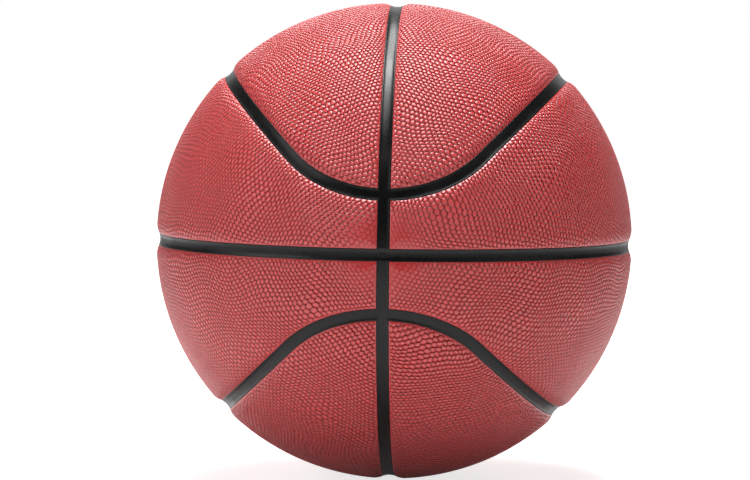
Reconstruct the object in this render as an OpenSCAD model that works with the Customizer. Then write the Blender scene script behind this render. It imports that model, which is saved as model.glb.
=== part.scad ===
// A basketball of eight cover panels, built up in layers from the bladder outwards.
// The origin is the ball's centre and +Z is up. The front crossing of the channels is
// at -Y and the back one at +Y, and every panel runs from the front to the back.
// Two channels are plain rings: the meridian in the plane x = 0 and the equator in the
// plane z = 0. The upper and lower channels follow tilted great circles along the
// sides and turn through a round arc where they cross the meridian.

/* [Ball] */
// Outside diameter over the crowns of the cover panels
ball_d = 238.5; // [225:0.5:250]

/* [Layers] */
// Thickness of a cover panel at its crown
cover_t = 1.5; // [1.2:0.1:2.2]
// Thickness of the sponge pad under each cover panel
pad_t = 1.5; // [1:0.1:3]
// Thickness of the moulded rubber carcass
carcass_t = 1; // [0.6:0.1:2]
// Thickness of the layer of wound thread
winding_t = 0.8; // [0.4:0.1:1.5]
// Thickness of the bladder's wall
bladder_t = 0.8; // [0.5:0.1:1.5]
// Thickness of the film of cement between a piece and its neighbour
cement_t = 0.05; // [0.02:0.01:0.1]

/* [Channels] */
// Width of a channel, from the edge of one panel to the edge of the next
channel_w = 6; // [4:0.25:7]
// Depth of a channel strip's sides below the edges of the panels beside it
strip_sink = 0.15; // [0.05:0.05:0.25]
// Depth of the hollow along the middle of a channel strip
strip_hollow = 0.45; // [0.1:0.05:0.7]

/* [Panel edges] */
// Thickness of a cover panel at its edge
edge_t = 0.3; // [0.2:0.05:0.6]
// Width of the band in which a panel rolls down to its edge
edge_roll_w = 5; // [3:0.25:7]
// Angle by which the rolled band breaks from the crown
edge_crease = 3; // [2:0.5:5]

/* [Channel layout] */
// Tilt of the upper and lower channels along the sides of the ball
side_tilt = 45; // [40:1:50]
// Latitude at which the upper channel crosses the meridian, front and back
crossing_latitude = 13.7; // [11:0.1:17]

/* [Valve] */
// Angle from the back crossing round to the valve
valve_turn = 11; // [9:0.5:15]
// Angle from the equator up to the valve
valve_rise = 7; // [6:0.25:8]
// Diameter of the boss's stem, whose end shows in the cover
stem_d = 7.6; // [6.5:0.1:9]
// Depth of the stem's end below the crown of the panel
stem_sink = 0.3; // [0:0.05:0.8]
// Diameter of the flange that the boss spreads under the bladder
flange_d = 20; // [14:0.5:26]
// Thickness of the flange
flange_t = 1.2; // [0.8:0.1:2]
// Diameter of the boss's barrel inside the bladder
barrel_d = 9; // [8:0.25:11]
// Length of the barrel below the flange
barrel_l = 9; // [7:0.5:12]
// Diameter of the plug's body
plug_d = 4.6; // [4:0.1:5.5]
// Depth of the plug's end below the end of the stem
plug_sink = 0.3; // [0.1:0.05:0.6]
// Diameter of the head that holds the plug under the barrel
plug_head_d = 7; // [6:0.1:8]
// Thickness of the plug's head
plug_head_t = 1.5; // [1:0.1:2.5]
// Diameter of the hole for the inflating needle
needle_d = 1.9; // [1.5:0.1:2.2]
// Depth of the hole for the inflating needle
needle_depth = 13; // [9:0.5:15]
// Gap all round between the stem and the layers that it passes through
stem_gap = 0.1; // [0.05:0.01:0.2]
// Gap all round between the plug and the boss
plug_gap = 0.05; // [0.02:0.01:0.1]

/* [Hidden] */

// Facets on round surfaces in a preview
$fn = 180;

// Flats in the section of a rolled edge
roll_steps = 3;

// How far a cut runs past what it cuts
overrun = 2;

// Radii of the layers, from the cover inwards
cover_outer_r = ball_d / 2;
cover_inner_r = cover_outer_r - cover_t;
pad_outer_r = cover_inner_r - cement_t;
pad_inner_r = pad_outer_r - pad_t;
carcass_outer_r = pad_inner_r - cement_t;
carcass_inner_r = carcass_outer_r - carcass_t;
winding_outer_r = carcass_inner_r - cement_t;
winding_inner_r = winding_outer_r - winding_t;
bladder_outer_r = winding_inner_r - cement_t;
bladder_inner_r = bladder_outer_r - bladder_t;

// Radii between which the cuts along the channels run
cut_outer_r = cover_outer_r + overrun;
cut_inner_r = pad_inner_r - overrun;

// Channel strip: its base, its sides and the round hollow along its middle
edge_r = cover_inner_r + edge_t;
strip_half_w = channel_w / 2 - cement_t;
strip_base = carcass_outer_r + cement_t;
strip_side = height_at(strip_half_w, edge_r - strip_sink);
hollow_r = (strip_half_w * strip_half_w + strip_hollow * strip_hollow) / (2 * strip_hollow);
hollow_centre = strip_side - strip_hollow + hollow_r;

// Rolled edge: a round from the panel's edge up to its crown
roll_edge = section_point(channel_w / 2, edge_r);
roll_crown = section_point(channel_w / 2 + edge_roll_w, cover_outer_r);
roll_chord = norm(roll_crown - roll_edge);
roll_slope = atan2(roll_crown[1] - roll_edge[1], roll_crown[0] - roll_edge[0]);
roll_turn = roll_slope + asin(roll_crown[0] / cover_outer_r) - edge_crease;
roll_r = roll_chord / (2 * sin(roll_turn));
roll_centre = (roll_edge + roll_crown) / 2 + roll_r * cos(roll_turn) * [sin(roll_slope), -cos(roll_slope)];
roll_points = [
    for (step = [0:roll_steps]) roll_point(step / roll_steps)
];

// Front arc of the upper channel: a circle on the ball that touches both side planes.
// arc_angle is its radius, seen from the ball's centre, and arc_latitude its middle's place.
arc_angle = atan2(
    cos(side_tilt) * sin(crossing_latitude),
    1 - cos(side_tilt) * cos(crossing_latitude)
);
arc_latitude = crossing_latitude + arc_angle;
// Turn about the arc's middle from the meridian round to the touching point
arc_turn = acos(cos(side_tilt) * cos(arc_latitude) / cos(arc_angle));
// Angle along the side plane from the front crossing to the touching point
side_start = acos(cos(arc_latitude) / cos(arc_angle));

// Extra room at each side of a round arc, and the turn by which it runs on along the side
arc_ease = 0.03;
arc_run_on = 0.3;

// The cells that part the panels leave the arc by this share of half a channel
cell_ease_share = 0.35;
channel_half_angle = asin(channel_w / 2 / cover_outer_r);
cell_arc_angle = arc_angle + cell_ease_share * channel_half_angle;
// The cell's corner runs past the front crossing by one channel
cell_far_angle = arc_latitude + 2 * channel_half_angle;

// Valve: radii along its own axis, which runs through the ball's centre
stem_end_r = cover_outer_r - stem_sink;
flange_outer_r = bladder_inner_r - cement_t;
flange_inner_r = flange_outer_r - flange_t;
barrel_end_r = flange_inner_r - barrel_l;
plug_end_r = stem_end_r - plug_sink;
plug_head_r = barrel_end_r - cement_t;
plug_tail_r = plug_head_r - plug_head_t;
needle_end_r = plug_end_r - needle_depth;

cover_colour = [0.66, 0.24, 0.26];
channel_colour = [0.17, 0.16, 0.18];
pad_colour = [0.82, 0.74, 0.58];
carcass_colour = [0.26, 0.26, 0.28];
winding_colour = [0.92, 0.9, 0.84];
bladder_colour = [0.35, 0.35, 0.38];
boss_colour = [0.1, 0.1, 0.11];
plug_colour = [0.72, 0.7, 0.66];

// Height of a sphere's section above its centre, at a distance from the upright
function height_at(distance, radius) = sqrt(radius * radius - distance * distance);
// Point of a sphere's section at a distance from the upright
function section_point(distance, radius) = [distance, height_at(distance, radius)];
// Point of a sphere's section at an angle from the upright
function at_angle(angle, radius) = radius * [sin(angle), cos(angle)];
// Point of the rolled edge at a share of the way from the panel's edge to its crown
function roll_point(share) =
    let (turn = roll_slope + roll_turn * (1 - 2 * share))
    roll_centre + roll_r * [-sin(turn), cos(turn)];
// The point that faces another one across the upright
function across(point) = [-point[0], point[1]];

// Layers

// Hollow ball between two radii
module layer(outer_r, inner_r) {
    difference() {
        sphere(r = outer_r);
        sphere(r = inner_r);
    }
}

// Hollow ball with the round hole that the valve's stem passes through
module pierced_layer(outer_r, inner_r) {
    difference() {
        layer(outer_r, inner_r);
        stem_hole();
    }
}

// Sections across a channel, drawn upright with the ball's centre at the origin. The
// side stretches of a channel have the sections as they are. Its round arcs have them
// larger all round, or smaller for the strip, by ease.

// Straight-sided gap between two panels
module gap_section(ease = 0) {
    translate([-channel_w / 2 - ease, cut_inner_r - ease])
        square([channel_w + 2 * ease, cut_outer_r - cut_inner_r + 2 * ease]);
}

// What the rolled edge takes off the panel on the right of a channel
module right_roll_section(ease = 0) {
    translate([ease, -ease])
        polygon([
            for (point = roll_points) point,
            [roll_crown[0], cut_outer_r],
            [roll_edge[0], cut_outer_r],
        ]);
}

// What the rolled edge takes off the panel on the left of a channel
module left_roll_section(ease = 0) {
    translate([-ease, -ease])
        polygon([
            [-roll_edge[0], cut_outer_r],
            [-roll_crown[0], cut_outer_r],
            for (step = [roll_steps:-1:0]) across(roll_points[step]),
        ]);
}

// Gap between two cover panels with the rolled edge on either side
module rolled_gap_section(ease = 0) {
    gap_section(ease);
    left_roll_section(ease);
    right_roll_section(ease);
}

// Rubber strip that lies in a channel, with its base on the carcass
module strip_section(ease = 0) {
    difference() {
        translate([ease - strip_half_w, strip_base + ease])
            square([2 * (strip_half_w - ease), strip_side - strip_base - 2 * ease]);
        translate([0, hollow_centre - ease]) circle(r = hollow_r);
    }
}

// Courses of the channels. The first child is the section along the sides, and the
// second one the section along the round arcs.

// Section swept about the z axis at an angle from it, from one turn to another
module swept(angle_from_axis, start_turn, end_turn) {
    rotate([0, 0, start_turn])
        rotate_extrude(angle = end_turn - start_turn)
            rotate(-angle_from_axis) children();
}

module equator_course() {
    rotate_extrude() rotate(-90) children();
}

module meridian_course() {
    rotate([0, 90, 0]) equator_course() children();
}

// Round arc of the upper channel at the front, on the right of the meridian
module arc_course() {
    rotate([90 - arc_latitude, 0, 0])
        swept(arc_angle, -90, arc_turn + arc_run_on - 90) children();
}

// Upper channel on the right of the meridian, from the front crossing to the back one
module upper_course() {
    arc_course() children(1);
    rotate([0, -side_tilt, 0])
        swept(90, side_start - 90, 90 - side_start) children(0);
    mirror([0, 1, 0]) arc_course() children(1);
}

// Cells, which pick one panel's share of a layer

// Quarter of space on the right of the meridian and above the equator
module quarter() {
    translate([0, -cut_outer_r, 0]) cube([cut_outer_r, 2 * cut_outer_r, cut_outer_r]);
}

// Corner that the round arc cuts off the wedge between the meridian and the side plane
module cell_corner() {
    rotate([90 - arc_latitude, 0, 0])
        rotate([0, 0, -90 - arc_turn])
            rotate_extrude(angle = 2 * arc_turn)
                polygon([
                    at_angle(cell_arc_angle, cut_inner_r),
                    at_angle(cell_far_angle, cut_inner_r),
                    at_angle(cell_far_angle, cut_outer_r),
                    at_angle(cell_arc_angle, cut_outer_r),
                ]);
}

// Cell of the top right panel, bounded along the middles of its channels
module top_cell() {
    difference() {
        rotate([90, 0, 0])
            linear_extrude(height = 2 * cut_outer_r, center = true)
                polygon([
                    [0, 0],
                    2 * cut_outer_r * [cos(side_tilt), sin(side_tilt)],
                    [0, 2 * cut_outer_r],
                ]);
        cell_corner();
        mirror([0, 1, 0]) cell_corner();
    }
}

// Panels of a layer in the upper right quarter. The children are the sections of the gap
// along the sides and along the round arcs.

module top_panel(outer_r, inner_r) {
    difference() {
        intersection() {
            layer(outer_r, inner_r);
            top_cell();
        }
        meridian_course() children(0);
        upper_course() {
            children(0);
            children(1);
        }
    }
}

module side_panel(outer_r, inner_r) {
    difference() {
        intersection() {
            layer(outer_r, inner_r);
            quarter();
        }
        meridian_course() children(0);
        equator_course() children(0);
        upper_course() {
            children(0);
            children(1);
        }
        top_cell();
    }
}

// What is made on the upper right, moved to the left of the meridian
module to_left() {
    mirror([1, 0, 0]) children();
}

// What is made on the upper right, moved below the equator
module to_lower() {
    mirror([0, 0, 1]) children();
}

module cover_top() {
    color(cover_colour) top_panel(cover_outer_r, cover_inner_r) {
        rolled_gap_section();
        rolled_gap_section(arc_ease);
    }
}

module cover_side() {
    color(cover_colour) side_panel(cover_outer_r, cover_inner_r) {
        rolled_gap_section();
        rolled_gap_section(arc_ease);
    }
}

module pad_top() {
    color(pad_colour) top_panel(pad_outer_r, pad_inner_r) {
        gap_section();
        gap_section(arc_ease);
    }
}

module pad_side() {
    color(pad_colour) side_panel(pad_outer_r, pad_inner_r) {
        gap_section();
        gap_section(arc_ease);
    }
}

// Channel strips, which end at the sides of the meridian's channel

module equator_strip() {
    color(channel_colour) difference() {
        swept(90, -90, 90) strip_section();
        meridian_course() gap_section();
    }
}

module upper_strip() {
    color(channel_colour) difference() {
        upper_course() {
            strip_section();
            strip_section(arc_ease);
        }
        meridian_course() gap_section();
    }
}

// Valve

// Turns the z axis onto the valve's axis, in the upper left quarter at the back
module on_valve_axis() {
    rotate([valve_rise - 90, 0, valve_turn]) children();
}

module stem_hole() {
    on_valve_axis() cylinder(r = stem_d / 2 + stem_gap, h = cut_outer_r);
}

// Half of the boss's section: the stem, the flange and the barrel
module boss_section() {
    difference() {
        union() {
            intersection() {
                translate([0, barrel_end_r]) square([stem_d / 2, cut_outer_r - barrel_end_r]);
                circle(r = stem_end_r);
            }
            intersection() {
                square([flange_d / 2, cut_outer_r]);
                difference() {
                    circle(r = flange_outer_r);
                    circle(r = flange_inner_r);
                }
            }
            translate([0, barrel_end_r]) square([barrel_d / 2, flange_inner_r - barrel_end_r]);
        }
        square([plug_d / 2 + plug_gap, cut_outer_r]);
    }
}

// Pieces

module bladder() {
    color(bladder_colour) pierced_layer(bladder_outer_r, bladder_inner_r);
}

module valve_boss() {
    color(boss_colour) on_valve_axis() rotate_extrude() boss_section();
}

module valve_plug() {
    color(plug_colour) on_valve_axis() difference() {
        union() {
            translate([0, 0, plug_head_r]) cylinder(d = plug_d, h = plug_end_r - plug_head_r);
            translate([0, 0, plug_tail_r]) cylinder(d = plug_head_d, h = plug_head_t);
        }
        translate([0, 0, needle_end_r]) cylinder(d = needle_d, h = needle_depth + overrun);
    }
}

module thread_winding() {
    color(winding_colour) pierced_layer(winding_outer_r, winding_inner_r);
}

module carcass() {
    color(carcass_colour) pierced_layer(carcass_outer_r, carcass_inner_r);
}

module channel_meridian() {
    color(channel_colour) meridian_course() strip_section();
}

module channel_equator_right() {
    equator_strip();
}

module channel_equator_left() {
    to_left() equator_strip();
}

module channel_upper_right() {
    upper_strip();
}

module channel_upper_left() {
    to_left() upper_strip();
}

module channel_lower_right() {
    to_lower() upper_strip();
}

module channel_lower_left() {
    to_left() to_lower() upper_strip();
}

module pad_top_right() {
    pad_top();
}

module pad_top_left() {
    to_left() pad_top();
}

module pad_bottom_right() {
    to_lower() pad_top();
}

module pad_bottom_left() {
    to_left() to_lower() pad_top();
}

module pad_side_right_upper() {
    pad_side();
}

module pad_side_left_upper() {
    color(pad_colour) difference() {
        to_left() pad_side();
        stem_hole();
    }
}

module pad_side_right_lower() {
    to_lower() pad_side();
}

module pad_side_left_lower() {
    to_left() to_lower() pad_side();
}

module cover_top_right() {
    cover_top();
}

module cover_top_left() {
    to_left() cover_top();
}

module cover_bottom_right() {
    to_lower() cover_top();
}

module cover_bottom_left() {
    to_left() to_lower() cover_top();
}

module cover_side_right_upper() {
    cover_side();
}

module cover_side_left_upper() {
    color(cover_colour) difference() {
        to_left() cover_side();
        stem_hole();
    }
}

module cover_side_right_lower() {
    to_lower() cover_side();
}

module cover_side_left_lower() {
    to_left() to_lower() cover_side();
}

bladder();
valve_boss();
valve_plug();
thread_winding();
carcass();
channel_meridian();
channel_equator_right();
channel_equator_left();
channel_upper_right();
channel_upper_left();
channel_lower_right();
channel_lower_left();
pad_top_right();
pad_top_left();
pad_bottom_right();
pad_bottom_left();
pad_side_right_upper();
pad_side_left_upper();
pad_side_right_lower();
pad_side_left_lower();
cover_top_right();
cover_top_left();
cover_bottom_right();
cover_bottom_left();
cover_side_right_upper();
cover_side_left_upper();
cover_side_right_lower();
cover_side_left_lower();
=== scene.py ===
"""Looks of a full-size basketball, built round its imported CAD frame.

The ball's centre is the origin, +Z is up and the front crossing of the channels faces -Y.
Sizes are in millimetres and degrees, as in the CAD model. Meshes are made in metres.
"""

import logging
import math
from dataclasses import dataclass
from enum import Enum
from typing import Any, Sequence

import bpy
import numpy as np
from mathutils import Matrix, Vector


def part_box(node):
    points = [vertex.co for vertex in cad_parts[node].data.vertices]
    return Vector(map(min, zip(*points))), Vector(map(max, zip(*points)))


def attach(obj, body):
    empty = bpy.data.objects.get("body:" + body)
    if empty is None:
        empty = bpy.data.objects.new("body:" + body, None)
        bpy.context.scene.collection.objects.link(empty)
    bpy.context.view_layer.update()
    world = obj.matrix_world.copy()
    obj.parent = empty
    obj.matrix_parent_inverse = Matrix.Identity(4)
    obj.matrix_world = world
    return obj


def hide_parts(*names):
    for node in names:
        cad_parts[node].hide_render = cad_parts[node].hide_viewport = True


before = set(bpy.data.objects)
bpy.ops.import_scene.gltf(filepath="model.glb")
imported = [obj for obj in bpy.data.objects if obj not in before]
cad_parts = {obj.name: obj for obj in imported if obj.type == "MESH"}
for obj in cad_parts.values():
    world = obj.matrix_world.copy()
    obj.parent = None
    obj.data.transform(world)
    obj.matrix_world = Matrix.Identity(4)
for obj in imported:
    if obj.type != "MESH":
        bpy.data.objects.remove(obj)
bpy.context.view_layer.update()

MM = 0.001
ROOT_BODY = "root"
SHARP_ANGLE = 50.0
LOG = logging.getLogger("basketball")

Socket = bpy.types.NodeSocket
Colour = tuple[float, float, float]
Range = tuple[float, float]
WHITE = (1.0, 1.0, 1.0, 1.0)


def unit(vectors: np.ndarray) -> np.ndarray:
    """Vectors scaled to length one."""
    return vectors / np.linalg.norm(vectors, axis=-1, keepdims=True)


def smooth_step(values: np.ndarray, low: float, high: float) -> np.ndarray:
    """Values eased from 0 at low to 1 at high."""
    share = np.clip((values - low) / (high - low), 0.0, 1.0)
    return share * share * (3.0 - 2.0 * share)


def from_front(turn: float, rise: float) -> Vector:
    """Unit direction turned to the right from the front and raised, both in degrees."""
    turn, rise = math.radians(turn), math.radians(rise)
    return Vector((math.sin(turn) * math.cos(rise), -math.cos(turn) * math.cos(rise), math.sin(rise)))


def arc_between(start: np.ndarray, end: np.ndarray, count: int) -> np.ndarray:
    """Directions spaced evenly along the great circle from one direction to another.

    Args:
        start: Unit direction of the first point.
        end: Unit direction of the last point.
        count: Number of points, one where the two directions are the same.

    Returns:
        One unit direction a row.
    """
    if count == 1:
        return start[None, :]
    angle = math.acos(float(np.clip(start @ end, -1.0, 1.0)))
    share = np.linspace(0.0, 1.0, count)[:, None]
    return (np.sin((1.0 - share) * angle) * start + np.sin(share * angle) * end) / math.sin(angle)


@dataclass(frozen=True)
class BallLayers:
    """Radii of the ball's layers and the shape of a panel's edge, in millimetres."""

    crown_r: float = 119.25
    cover_inner_r: float = 117.75
    cover_edge_r: float = 118.05
    strip_base_r: float = 116.2
    channel_half_w: float = 3.0
    strip_half_w: float = 2.95
    strip_side_r: float = 117.863
    strip_hollow: float = 0.45
    roll_w: float = 5.0
    roll_power: float = 1.8
    corner_power: float = 6.0

    def drop(self, distances: np.ndarray) -> np.ndarray:
        """How far a panel's outer face lies below the crown.

        Args:
            distances: Distance to the middle of each channel, one row a channel.

        Returns:
            The drop in millimetres at each point.
        """
        share = np.clip((distances - self.channel_half_w) / self.roll_w, 0.0, 1.0)
        drops = (self.crown_r - self.cover_edge_r) * (1.0 - share) ** self.roll_power
        return np.sum(drops**self.corner_power, axis=0) ** (1.0 / self.corner_power)


@dataclass(frozen=True)
class ChannelLayout:
    """Courses of the channels over the upper right quarter of the ball.

    The upper channel follows a tilted great circle along the side. Near the front and back
    crossings it turns through a round arc about a point above the crossing.
    """

    layers: BallLayers
    side_tilt: float = 45.0
    crossing_latitude: float = 13.7

    @property
    def tilt(self) -> float:
        """Tilt of the side circle's plane, in radians."""
        return math.radians(self.side_tilt)

    @property
    def crossing(self) -> float:
        """Latitude of the crossing with the meridian, in radians."""
        return math.radians(self.crossing_latitude)

    @property
    def arc_angle(self) -> float:
        """Radius of the round arc, seen from the ball's centre, in radians."""
        level = math.cos(self.tilt)
        return math.atan2(level * math.sin(self.crossing), 1.0 - level * math.cos(self.crossing))

    @property
    def arc_latitude(self) -> float:
        """Latitude of the middle of the round arc, in radians."""
        return self.crossing + self.arc_angle

    @property
    def arc_turn(self) -> float:
        """Turn about the arc's middle from the meridian to the touching point, in radians."""
        return math.acos(math.cos(self.tilt) * math.cos(self.arc_latitude) / math.cos(self.arc_angle))

    @property
    def side_start(self) -> float:
        """Angle along the side circle from the front to the touching point, in radians."""
        return math.acos(math.cos(self.arc_latitude) / math.cos(self.arc_angle))

    def arc_frame(self) -> np.ndarray:
        """The arc's middle, the way down from it and the way to the right of it, as units."""
        sine, cosine = math.sin(self.arc_latitude), math.cos(self.arc_latitude)
        return np.array([(0.0, -cosine, sine), (0.0, -sine, -cosine), (1.0, 0.0, 0.0)])

    def side_frame(self) -> np.ndarray:
        """The way out along the side circle's plane and the plane's upward normal, as units."""
        sine, cosine = math.sin(self.tilt), math.cos(self.tilt)
        return np.array([(cosine, 0.0, sine), (-sine, 0.0, cosine)])

    def upper_course(self, radius: float, offset: float, count: int) -> tuple[np.ndarray, np.ndarray]:
        """Points beside the upper channel's middle, evenly spaced from front to back.

        Args:
            radius: Distance of the points from the ball's centre.
            offset: Distance from the channel's middle, positive on the side of the top panel.
            count: Number of points.

        Returns:
            The points in millimetres, and at each the unit way across the channel.
        """
        middle, down, right = self.arc_frame()
        out, normal = self.side_frame()
        angle = self.arc_angle - math.asin(offset / radius)
        first_turn = math.asin(self.layers.channel_half_w / (radius * math.sin(angle)))
        arc_length = radius * math.sin(angle) * (self.arc_turn - first_turn)
        ring_r = math.sqrt(radius**2 - offset**2)
        side_length = ring_r * (math.pi - 2.0 * self.side_start)
        place = np.linspace(0.0, 2.0 * arc_length + side_length, count)
        from_end = np.minimum(place, place[-1] - place)
        turn = (first_turn + np.minimum(from_end, arc_length) / (radius * math.sin(angle)))[:, None]
        outwards = np.cos(turn) * down + np.sin(turn) * right
        on_arc = radius * (math.cos(angle) * middle + math.sin(angle) * outwards)
        across_arc = math.sin(angle) * middle - math.cos(angle) * outwards
        swing = (self.side_start + (from_end - arc_length) / ring_r)[:, None]
        front = np.array([0.0, -1.0, 0.0])
        on_side = offset * normal + ring_r * (np.sin(swing) * out + np.cos(swing) * front)
        is_arc = (from_end < arc_length)[:, None]
        points = np.where(is_arc, on_arc, on_side)
        across = np.where(is_arc, across_arc, normal)
        to_back = (place > place[-1] / 2.0)[:, None]
        flip = np.where(to_back, np.array([1.0, -1.0, 1.0]), 1.0)
        return points * flip, across * flip

    def equator_edge(self, radius: float, count: int) -> np.ndarray:
        """Points along the lower edge of the upper side panel, from front to back."""
        half = self.layers.channel_half_w
        return self.meridian_edge(radius, math.asin(half / math.sqrt(radius**2 - half**2)), count)[:, ::-1]

    def meridian_edge(self, radius: float, first: float, count: int) -> np.ndarray:
        """Points along the meridian edge of the top panel, from front to back.

        Args:
            radius: Distance of the points from the ball's centre.
            first: Latitude of the first point, in radians.
            count: Number of points.

        Returns:
            The points in millimetres.
        """
        half = self.layers.channel_half_w
        ring_r = math.sqrt(radius**2 - half**2)
        angle = np.linspace(first, math.pi - first, count)
        aside = np.full(count, half)
        return np.stack([aside, -ring_r * np.cos(angle), ring_r * np.sin(angle)], axis=1)

    def distances(self, directions: np.ndarray) -> np.ndarray:
        """Distance from the meridian's, the equator's and the upper channel's middle.

        Args:
            directions: Unit directions in the upper right quarter, one a row.

        Returns:
            Three rows of distances in millimetres.
        """
        radius = self.layers.crown_r
        front = directions.copy()
        front[:, 1] = -np.abs(front[:, 1])
        middle, down, right = self.arc_frame()
        turn = np.arctan2(front @ right, front @ down)
        from_middle = np.arccos(np.clip(front @ middle, -1.0, 1.0))
        on_arc = np.abs(np.sin(self.arc_angle - from_middle))
        on_side = np.abs(front @ self.side_frame()[1])
        upper = np.where(turn < self.arc_turn, on_arc, on_side)
        return radius * np.stack([np.abs(directions[:, 0]), np.abs(directions[:, 2]), upper])


class PanelShape(Enum):
    """The two shapes of cover panel, named by the place over the upper right quarter."""

    TOP = "top"
    SIDE = "side"


@dataclass(frozen=True)
class Placing:
    """Where a piece made on the upper right goes: to the left, below the equator, or both."""

    left: bool = False
    lower: bool = False

    def move(self, points: np.ndarray) -> np.ndarray:
        """Points mirrored to this place."""
        return points * np.array([-1.0 if self.left else 1.0, 1.0, -1.0 if self.lower else 1.0])

    @property
    def turns_inside_out(self) -> bool:
        """Whether the mirroring turns faces inwards."""
        return self.left != self.lower


@dataclass
class Surface:
    """A closed mesh in millimetres with the maps that its finish needs."""

    points: np.ndarray
    triangles: np.ndarray
    place: np.ndarray
    atlas: np.ndarray
    grain: np.ndarray


def stitched(first: np.ndarray, second: np.ndarray) -> np.ndarray:
    """Triangles between two rows of points that run side by side.

    Args:
        first: Numbers of the first row's points.
        second: Numbers of the second row's points, as many or not.

    Returns:
        One triangle a row, turned so that its first edge runs along the first row.
    """
    steps = len(first) - 1
    others = len(second) - 1
    middles = [(np.arange(count) + 0.5) / max(count, 1) for count in (steps, others)]
    on_first = np.concatenate([np.ones(steps, int), np.zeros(others, int)])
    on_first = on_first[np.argsort(np.concatenate(middles), kind="stable")]
    at_first = np.cumsum(on_first) - on_first
    at_second = np.cumsum(1 - on_first) - (1 - on_first)
    next_first = first[np.minimum(at_first + 1, steps)]
    next_second = second[np.minimum(at_second + 1, others)]
    corner = np.where(on_first == 1, next_first, next_second)
    return np.stack([first[at_first], corner, second[at_second]], axis=1)


def between_rings(rings: np.ndarray, following: np.ndarray) -> np.ndarray:
    """Triangles between closed rings of points and the rings that follow them.

    Args:
        rings: Numbers of the points, one ring a row.
        following: Numbers of the points of the ring after each.

    Returns:
        One triangle a row.
    """
    quads = [rings, following, np.roll(following, -1, axis=1), np.roll(rings, -1, axis=1)]
    quads = np.stack(quads, axis=-1).reshape(-1, 4)
    return np.concatenate([quads[:, [0, 1, 2]], quads[:, [0, 2, 3]]])


def object_from(name: str, points: np.ndarray, triangles: np.ndarray) -> bpy.types.Object:
    """A mesh object with smooth faces and sharp corners.

    Args:
        name: Name of the object and its mesh.
        points: Places in millimetres.
        triangles: Three point numbers a row.

    Returns:
        The object, linked to the scene.
    """
    mesh = bpy.data.meshes.new(name)
    mesh.vertices.add(len(points))
    mesh.vertices.foreach_set("co", (points * MM).astype(np.float32).ravel())
    mesh.loops.add(triangles.size)
    mesh.loops.foreach_set("vertex_index", triangles.astype(np.int32).ravel())
    mesh.polygons.add(len(triangles))
    mesh.polygons.foreach_set("loop_start", np.arange(0, triangles.size, 3, dtype=np.int32))
    mesh.update(calc_edges=True)
    mesh.shade_smooth()
    mesh.set_sharp_from_angle(angle=math.radians(SHARP_ANGLE))
    made = bpy.data.objects.new(name, mesh)
    bpy.context.scene.collection.objects.link(made)
    return made


def outward(points: np.ndarray, triangles: np.ndarray) -> np.ndarray:
    """The triangles turned so that their faces point outwards."""
    a, b, c = np.moveaxis(points[triangles], 1, 0)
    return triangles if np.sum(a * np.cross(b, c)) > 0.0 else triangles[:, ::-1]


def evaluated_mesh(piece: bpy.types.Object) -> None:
    """Turns what a piece's modifiers make into its plain mesh, and removes them.

    Args:
        piece: The piece.
    """
    graph = bpy.context.evaluated_depsgraph_get()
    mesh = bpy.data.meshes.new_from_object(
        piece.evaluated_get(graph), preserve_all_data_layers=True, depsgraph=graph
    )
    old = piece.data
    name = old.name
    piece.modifiers.clear()
    piece.data = mesh
    bpy.data.meshes.remove(old)
    mesh.name = name


def finish_piece(piece: bpy.types.Object, node: str) -> None:
    """Rides a finished piece on the ball, in place of its CAD node, and reports it.

    Args:
        piece: The piece.
        node: Name of the CAD node.
    """
    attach(piece, ROOT_BODY)
    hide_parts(node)
    LOG.info("%s: %d faces", piece.name, len(piece.data.polygons))


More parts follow.
